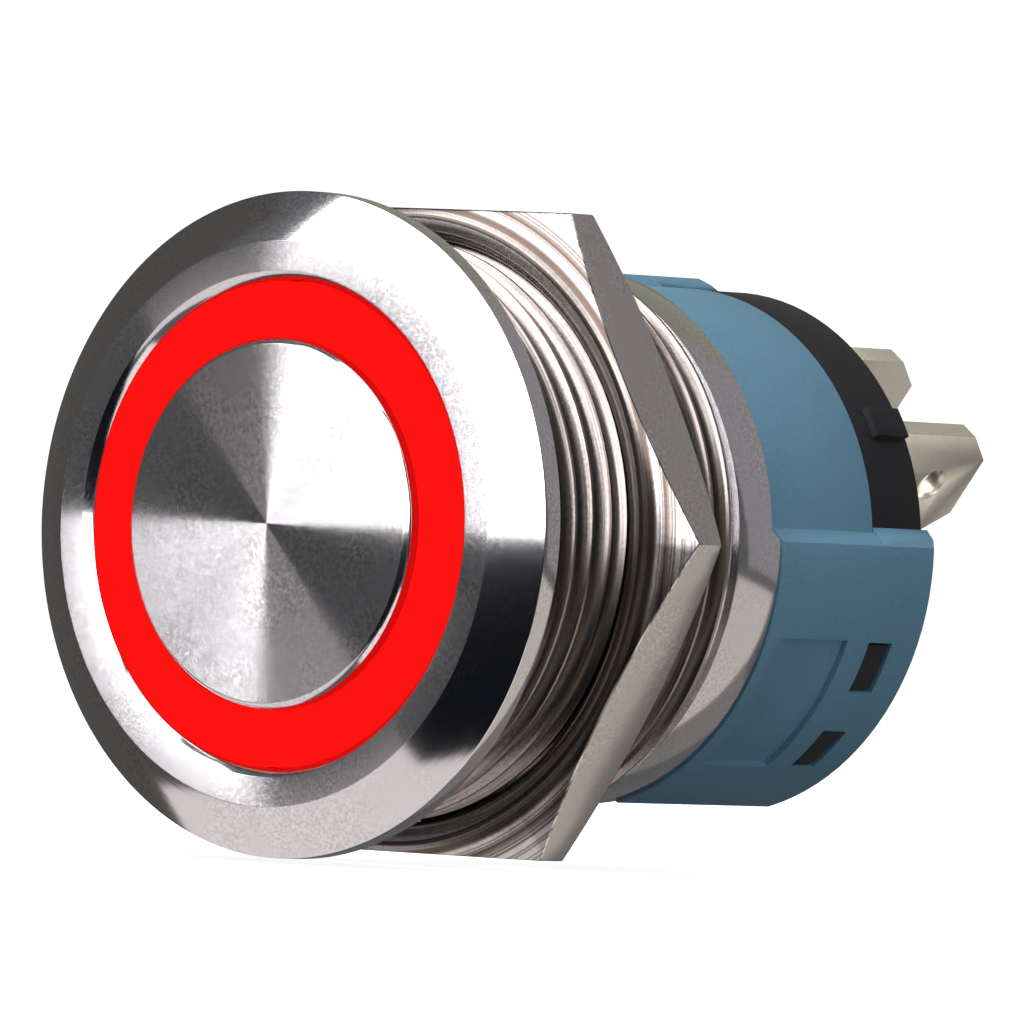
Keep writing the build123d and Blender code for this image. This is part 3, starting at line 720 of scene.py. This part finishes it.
# directions are (degrees from the front towards +X, degrees above the horizon)
CARDS = (
    # name, direction, width and height in degrees, brightness, tint
    ("front_softbox", (21, 27.5), (76, 56), 4.8, (1.0, 0.985, 1.0)),
    ("high_softbox", (-26, 43), (42, 48), 4.8, (1.0, 0.985, 1.0)),
    ("top_softbox", (70, 78), (60, 34), 2.2, (1.0, 0.97, 0.95)),
    ("low_left_softbox", (-49, -52), (98, 40), 1.0, (1.0, 0.93, 0.93)),
    ("left_flag", (-100, 4), (62, 84), 0.10, (1.0, 0.97, 0.9)),
    ("low_front_flag", (24, -23.5), (66, 47), 0.012, (0.6, 0.7, 1.0)),
    ("side_flag", (86, 14), (52, 56), 0.018, (1.0, 0.75, 0.55)),
    ("low_side_card", (84, -52), (60, 44), 1.3, (1.0, 0.90, 0.86)),
    ("rear_flag", (158, 24), (64, 62), 0.34, (1.0, 0.95, 0.98)),
    ("rear_left_card", (-152, 34), (46, 60), 0.32, (1.0, 0.97, 0.80)),
    ("rear_low_card", (141, -36), (44, 52), 0.68, (1.0, 0.94, 0.86)),
    ("rear_low_shade", (176, -44), (24, 40), 0.25, (1.0, 0.94, 0.90)),
)
LAMPS = (
    # name, direction, power in watts, size in metres
    ("key", (10, 66), 3.6, 0.5),
    ("fill", (80, 35), 0.5, 0.5),
    ("side_fill", (85, -10), 2.6, 0.3),
)


def direction(turn, rise):
    """The unit vector at this turn from the front and rise above the horizon, in degrees."""
    level = Vector((sin(radians(turn)), -cos(radians(turn)), 0)) * cos(radians(rise))
    return level + Vector((0, 0, sin(radians(rise))))


class BUTTON_OT_stage(bpy.types.Operator):
    """Set the floor, the studio lights and the camera"""

    bl_idname = "button.stage"
    bl_label = "Stage"
    card_distance = 0.35
    lamp_distance = 0.6
    studio_glow, backdrop_glow, floor_glow = 0.145, 1.1, 0.88

    def execute(self, context):
        scene = context.scene
        self.floor()
        self.cards()
        self.lights()
        self.camera(scene)
        scene.world = self.world()
        scene.view_settings.view_transform = "Standard"
        return {"FINISHED"}

    def world(self):
        """A dim studio round the object, behind a plain white backdrop."""
        world = bpy.data.worlds.new("studio")
        world.use_nodes = True
        tree = world.node_tree
        dim = tree.nodes["Background"]
        dim.inputs["Color"].default_value = (0.95, 0.96, 1.0, 1.0)
        dim.inputs["Strength"].default_value = self.studio_glow
        white = tree.nodes.new("ShaderNodeBackground")
        white.inputs["Color"].default_value = (1.0, 1.0, 1.0, 1.0)
        white.inputs["Strength"].default_value = self.backdrop_glow
        seen = tree.nodes.new("ShaderNodeLightPath")
        mix = tree.nodes.new("ShaderNodeMixShader")
        tree.links.new(seen.outputs["Is Camera Ray"], mix.inputs[0])
        tree.links.new(dim.outputs[0], mix.inputs[1])
        tree.links.new(white.outputs[0], mix.inputs[2])
        tree.links.new(mix.outputs[0], tree.nodes["World Output"].inputs["Surface"])
        return world

    def floor(self):
        """A pale floor, which the metal doesn't mirror."""
        floor_radius, gap = 2.0, 0.2 * MM
        bm = bmesh.new()
        bmesh.ops.create_circle(bm, cap_ends=True, segments=96, radius=floor_radius)
        bmesh.ops.translate(bm, verts=bm.verts, vec=(0, 0, CAD_BOX[0][2] - gap))
        floor = self.stage_piece(bm, "floor", (0.9, 0.9, 0.9), self.floor_glow)
        floor.visible_glossy = False
        floor.visible_diffuse = False

    def stage_piece(self, bm, name, base, glow):
        """A piece of the stage with a plain self-lit finish."""
        mesh = bpy.data.meshes.new(name)
        bm.to_mesh(mesh)
        bm.free()
        piece = bpy.data.objects.new(name, mesh)
        bpy.context.scene.collection.objects.link(piece)
        finish = Finish(name, Roughness=0.9, Specular_IOR_Level=0.0, Emission_Strength=glow)
        mesh.materials.append(finish.drive(Base_Color=(*base, 1), Emission_Color=(1, 1, 1, 1)))
        return piece

    def cards(self):
        """Bright and dark cards that only reflections see."""
        distance = self.card_distance
        for name, (turn, rise), (wide, high), glow, shade in CARDS:
            towards = direction(turn, rise)
            bm = bmesh.new()
            bmesh.ops.create_grid(bm, x_segments=1, y_segments=1, size=0.5)
            spread = [2 * distance * tan(radians(side) / 2) for side in (wide, high)]
            bmesh.ops.scale(bm, verts=bm.verts, vec=(*spread, 1))
            facing = towards.to_track_quat("Z", "Y").to_matrix().to_4x4()
            bmesh.ops.transform(bm, verts=bm.verts, matrix=facing)
            bmesh.ops.translate(bm, verts=bm.verts, vec=towards * distance)
            card = self.stage_piece(bm, name, (0, 0, 0), glow)
            shader = card.data.materials[0].node_tree.nodes["Principled BSDF"]
            shader.inputs["Emission Color"].default_value = (*shade, 1)
            for ray in ("camera", "diffuse", "transmission", "shadow"):
                setattr(card, f"visible_{ray}", False)

    def lights(self):
        """Large soft lights for the plastic."""
        for name, (turn, rise), power, size in LAMPS:
            light = bpy.data.lights.new(name, "AREA")
            light.energy = power
            light.size = size
            lamp = bpy.data.objects.new(name, light)
            towards = direction(turn, rise)
            lamp.location = towards * self.lamp_distance
            lamp.rotation_euler = towards.to_track_quat("Z", "Y").to_euler()
            lamp.visible_camera = False
            lamp.visible_glossy = False
            bpy.context.scene.collection.objects.link(lamp)

    def camera(self, scene):
        """A long lens that looks at the face from the right, with a slight roll."""
        turn, roll, distance = radians(40.25), radians(2.71), 598.6 * MM
        aim, across, rise = Vector((0, -0.85, 0)) * MM, 8.30 * MM, 0.47 * MM
        back = Vector((sin(turn), -cos(turn), 0))
        right, up = Vector((cos(turn), sin(turn), 0)), Vector((0, 0, 1))
        right, up = cos(roll) * right + sin(roll) * up, cos(roll) * up - sin(roll) * right
        lens = bpy.data.cameras.new("camera")
        lens.lens = 562.5
        lens.sensor_width = 36.0
        lens.clip_start = 0.01
        camera = bpy.data.objects.new("camera", lens)
        place_at = aim + right * across + up * rise + back * distance
        facing = Matrix((right, up, back)).transposed().to_4x4()
        camera.matrix_world = Matrix.Translation(place_at) @ facing
        scene.collection.objects.link(camera)
        scene.camera = camera


OPERATORS = (
    BUTTON_OT_finishes,
    BUTTON_OT_barrel,
    BUTTON_OT_nut,
    BUTTON_OT_cap,
    BUTTON_OT_springs,
    BUTTON_OT_housing,
    BUTTON_OT_stage,
)


class BUTTON_PT_parts(bpy.types.Panel):
    """Lists the pieces and the stage"""

    bl_label = "Push Button"
    bl_idname = "BUTTON_PT_parts"
    bl_space_type = "VIEW_3D"
    bl_region_type = "UI"
    bl_category = "Push Button"

    def draw(self, context):
        for operator in OPERATORS:
            self.layout.operator(operator.bl_idname)


GROUPS = {
    "barrel_sizes": BarrelSizes,
    "cap_sizes": CapSizes,
    "nut_sizes": NutSizes,
    "housing_sizes": HousingSizes,
    "spring_sizes": SpringSizes,
    "finish_colours": FinishColours,
}


def register():
    """Adds the classes and puts the settings on the scene."""
    for cls in (*GROUPS.values(), *OPERATORS, BUTTON_PT_parts):
        bpy.utils.register_class(cls)
    for name, group in GROUPS.items():
        setattr(bpy.types.Scene, name, PointerProperty(type=group))


def unregister():
    """Takes away what register() adds."""
    for name in GROUPS:
        delattr(bpy.types.Scene, name)
    for cls in (BUTTON_PT_parts, *reversed(OPERATORS), *reversed(GROUPS.values())):
        bpy.utils.unregister_class(cls)


def main():
    """Makes the whole visual model."""
    register()
    bpy.ops.button.finishes()
    bpy.ops.button.barrel()
    bpy.ops.button.nut()
    bpy.ops.button.cap()
    bpy.ops.button.springs()
    bpy.ops.button.housing()
    bpy.ops.button.stage()


if __name__ == "__main__":
    main()
